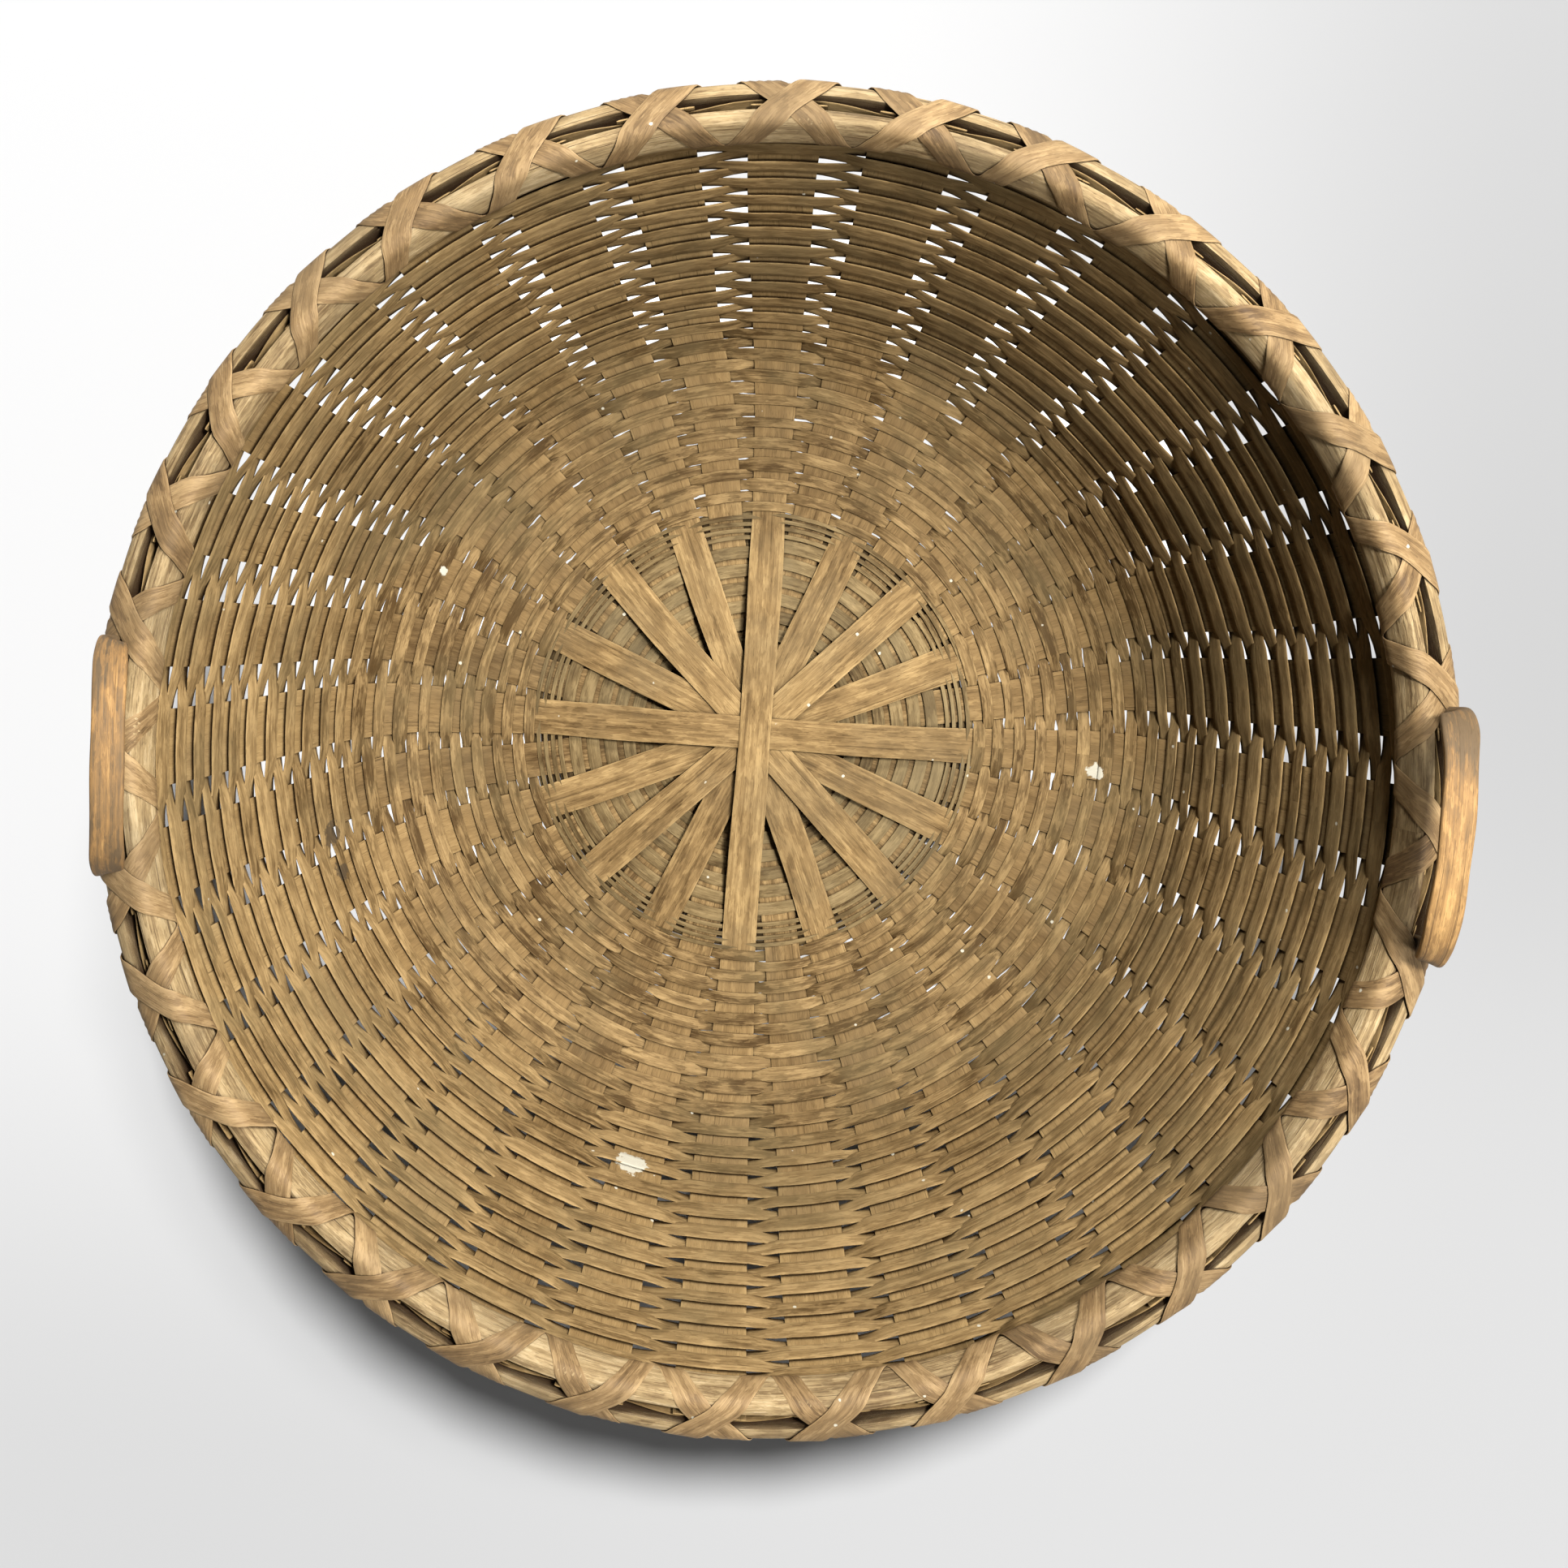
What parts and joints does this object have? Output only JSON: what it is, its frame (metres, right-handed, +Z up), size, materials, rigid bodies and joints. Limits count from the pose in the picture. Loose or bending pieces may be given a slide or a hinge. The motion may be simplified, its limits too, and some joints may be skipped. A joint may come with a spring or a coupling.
{
  "type": "splint basket",
  "caption": "Round shallow basket of woven wood splints, with a double bottom, a hooped and lashed rim and a bent ear handle at each side for carrying.",
  "frame": {"origin": "middle of the bottom, on the surface that the basket stands on", "axes": "+Z up through the mouth, +X along the splint that points to the right-hand ear handle, +Y round to the side without a handle"},
  "size_m": [0.6015, 0.6016, 0.231],
  "materials": {
    "upright_splint": "matte aged splint",
    "weaver_splint": "matte aged splint",
    "hoop_wood": "shaved, satin with wear",
    "lashing_splint": "matte aged splint",
    "handle_wood": "shaved, satin with wear"
  },
  "bodies": {
    "root": {"base_splint_lower_1": "upright_splint", "base_splint_lower_2": "upright_splint", "base_splint_lower_3": "upright_splint", "base_splint_lower_4": "upright_splint", "base_splint_lower_5": "upright_splint", "base_splint_lower_6": "upright_splint", "base_splint_lower_7": "upright_splint", "base_splint_lower_8": "upright_splint", "base_splint_upper_1": "upright_splint", "base_splint_upper_2": "upright_splint", "base_splint_upper_3": "upright_splint", "base_splint_upper_4": "upright_splint", "base_splint_upper_5": "upright_splint", "base_splint_upper_6": "upright_splint", "base_splint_upper_7": "upright_splint", "base_splint_upper_8": "upright_splint", "base_weaver_1": "weaver_splint", "base_weaver_2": "weaver_splint", "base_weaver_3": "weaver_splint", "base_weaver_4": "weaver_splint", "base_weaver_5": "weaver_splint", "wall_weaver_01": "weaver_splint", "wall_weaver_02": "weaver_splint", "wall_weaver_03": "weaver_splint", "wall_weaver_04": "weaver_splint", "wall_weaver_05": "weaver_splint", "wall_weaver_06": "weaver_splint", "wall_weaver_07": "weaver_splint", "wall_weaver_08": "weaver_splint", "wall_weaver_09": "weaver_splint", "wall_weaver_10": "weaver_splint", "wall_weaver_11": "weaver_splint", "wall_weaver_12": "weaver_splint", "wall_weaver_13": "weaver_splint", "wall_weaver_14": "weaver_splint", "wall_weaver_15": "weaver_splint", "wall_weaver_16": "weaver_splint", "wall_weaver_17": "weaver_splint", "wall_weaver_18": "weaver_splint", "wall_weaver_19": "weaver_splint", "wall_weaver_20": "weaver_splint", "wall_weaver_21": "weaver_splint", "wall_weaver_22": "weaver_splint", "wall_weaver_23": "weaver_splint", "wall_weaver_24": "weaver_splint", "wall_weaver_25": "weaver_splint", "wall_weaver_26": "weaver_splint", "wall_weaver_27": "weaver_splint", "wall_weaver_28": "weaver_splint", "wall_weaver_29": "weaver_splint", "rim_weaver": "weaver_splint", "inner_hoop": "hoop_wood", "outer_hoop": "hoop_wood", "rim_lashing_under": "lashing_splint", "rim_lashing_over": "lashing_splint", "ear_handle_right": "handle_wood", "ear_handle_left": "handle_wood"}
  },
  "joints": []
}
